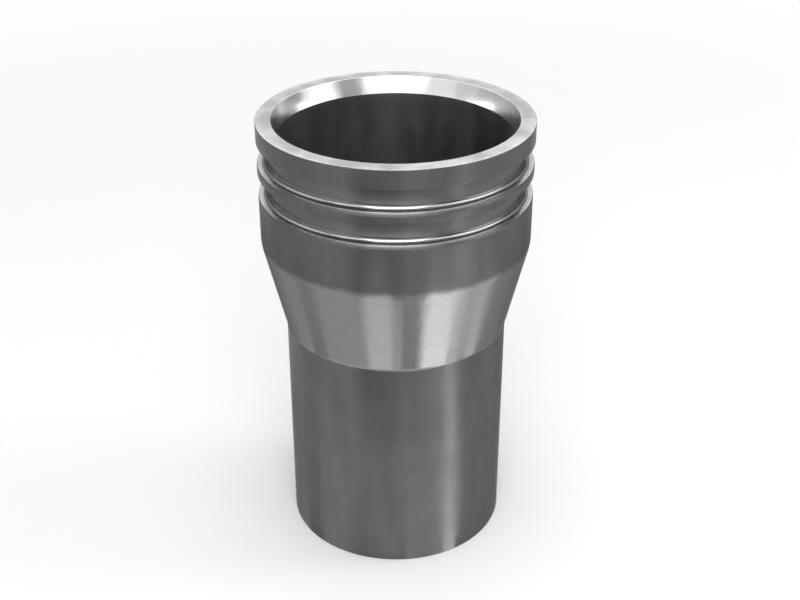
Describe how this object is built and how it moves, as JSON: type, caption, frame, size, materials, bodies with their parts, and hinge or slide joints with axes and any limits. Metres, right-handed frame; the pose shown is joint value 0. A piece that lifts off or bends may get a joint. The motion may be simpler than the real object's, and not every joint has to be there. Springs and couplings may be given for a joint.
{
  "type": "injector sleeve",
  "caption": "Turned steel sleeve that seals a fuel injector in a cylinder head: open tube with a steep lead-in, seal-ring grooves round a wide body, a taper and a narrow barrel.",
  "frame": {"origin": "centre of the ring-shaped foot that the sleeve stands on", "axes": "+Z along the sleeve's axis, from the narrow foot to the wide mouth"},
  "size_m": [0.04, 0.04, 0.0668],
  "materials": {
    "turned_steel": "satin turned outside, bright faced top and lead-in"
  },
  "bodies": {
    "root": {"injector_sleeve": "turned_steel"}
  },
  "joints": []
}
